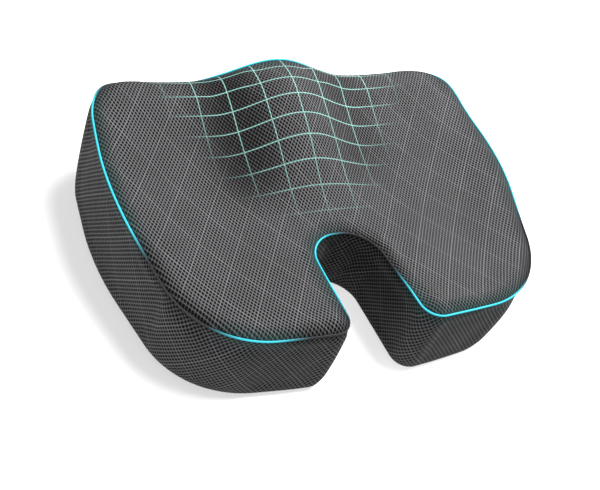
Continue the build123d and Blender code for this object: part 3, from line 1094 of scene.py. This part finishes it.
def add_studio():
    """A pale floor, a white world and three soft lights."""
    corners = [(FLOOR_REACH * x, FLOOR_REACH * y, 0) for x, y in ((-1, -1), (1, -1), (1, 1), (-1, 1))]
    floor = new_mesh("floor", corners, [(0, 1, 2, 3)])
    floor.data.materials.append(floor_material())
    world = bpy.data.worlds.new("studio")
    bpy.context.scene.world = world
    world.use_nodes = True
    background = world.node_tree.nodes["Background"]
    background.inputs["Color"].default_value = colour(1, 1, 1)
    background.inputs["Strength"].default_value = WORLD_STRENGTH
    add_light("SUN", "overhead", (0.42, 0.0, 1.4), (0, 0, 0.05), math.radians(22), 4.6)
    add_light("AREA", "key", (0.50, 0.16, 0.70), (0.0, 0.05, 0.05), 0.4, 11, shadow=False)
    add_light("AREA", "fill", (-1.3, -0.5, 0.25), (0, 0, 0.05), 0.5, 12)
    bpy.context.scene.view_settings.view_transform = "Standard"


add_camera()
add_studio()

top_cloth = spacer_mesh(
    "spacer_mesh_top", colour(0.082, 0.082, 0.085), colour(0.0008, 0.0008, 0.0010), printed=True
)
# The walls' copy of the spacer mesh has darker threads than the top's: painted shade on the walls.
shaded_wall_cloth = spacer_mesh(
    "spacer_mesh_wall_shaded", colour(0.056, 0.056, 0.058), colour(0.0007, 0.0007, 0.0009)
)
base_cloth = woven("base_cloth", colour(0.02, 0.02, 0.022), colour(0.06, 0.06, 0.063), 700)

swelling = make_swelling()
top = dress(make_top_panel(), top_cloth, "air_mesh", "top_panel")
side_distances = even_distances(FRONT_SEAM, PERIMETER - FRONT_SEAM, WALL_SPACING)
front_distances = even_distances(-FRONT_SEAM, FRONT_SEAM, WALL_SPACING)
dress(wall_panel("cover_side_border", side_distances), shaded_wall_cloth, "air_mesh", "side_border")
upper = wall_panel("cover_front_upper", front_distances, low=ZIP_HIGH)
dress(upper, shaded_wall_cloth, "air_mesh", "front_border_upper")
lower = wall_panel("cover_front_lower", front_distances, high=ZIP_LOW, rows=LOWER_BORDER_ROWS)
dress(lower, shaded_wall_cloth, "air_mesh", "front_border_lower")
dress(make_base(), base_cloth, "base_fabric", "bottom_panel")
dress(make_piping(), piping_material(), "piping_cord", "top_piping")

foam = closed_form("foam_body", FOAM_INSET, INNER_SPACING, INNER_PITCH)[0]
dress(foam, foam_material(), "memory_foam", "foam_core")
liner = closed_form("foam_liner", LINER_INSET, INNER_SPACING, INNER_PITCH)[0]
thicken(liner, LINER_THICKNESS)
liner_cloth = woven("liner_knit", colour(0.55, 0.55, 0.54), colour(0.75, 0.75, 0.73), 900)
dress(liner, liner_cloth, "liner_knit", "inner_liner")

tape = woven("zip_tape_twill", colour(0.005, 0.005, 0.006), colour(0.018, 0.018, 0.02), 1400)
plastic = plain_solid("zip_plastic", colour(0.015, 0.015, 0.016), colour(0.06, 0.06, 0.06))
metal = plain_solid(
    "zip_metal",
    colour(0.05, 0.05, 0.053),
    colour(0.22, 0.22, 0.225),
    metallic=0.9,
    roughness=(0.22, 0.42),
)
rubber = plain_solid(
    "grip_rubber", colour(0.02, 0.02, 0.022), colour(0.05, 0.05, 0.05), roughness=(0.5, 0.7)
)
satin = woven(
    "label_satin", colour(0.38, 0.38, 0.38), colour(0.60, 0.60, 0.58), 1600, roughness=0.5
)
thread = woven(
    "sewing_thread", colour(0.03, 0.03, 0.032), colour(0.12, 0.12, 0.125), 1800, roughness=0.6
)
for node in ("zip_coil_upper", "zip_coil_lower"):
    dress(make_coil(node), plastic, "zip_coil", node)
dress(make_label(), satin, "label_satin", "care_label")
stitching = [
    sew_along_zip("stitches_zip_upper", ZIP_HIGH + STITCH_OFFSET),
    sew_along_zip("stitches_zip_lower", ZIP_LOW - STITCH_OFFSET),
]
for side, sign in (("right", 1), ("left", -1)):
    for where, offset in (("front", -STITCH_OFFSET), ("back", STITCH_OFFSET)):
        stitching.append(sew_upright(f"stitches_{side}_{where}", sign * (FRONT_SEAM + offset)))
stitching.append(sew_label("stitches_label"))
for row in stitching:
    dress(row, thread, "air_mesh")

for node, material in {
    "zip_tape_upper": tape,
    "zip_tape_lower": tape,
    "zip_bottom_stop": metal,
    "zip_top_stops": metal,
    "zip_slider": metal,
    "zip_pull_tab": metal,
    "grip_dots": rubber,
}.items():
    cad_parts[node].data.materials.clear()
    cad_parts[node].data.materials.append(material)
    if material is metal:
        soften_edges(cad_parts[node])
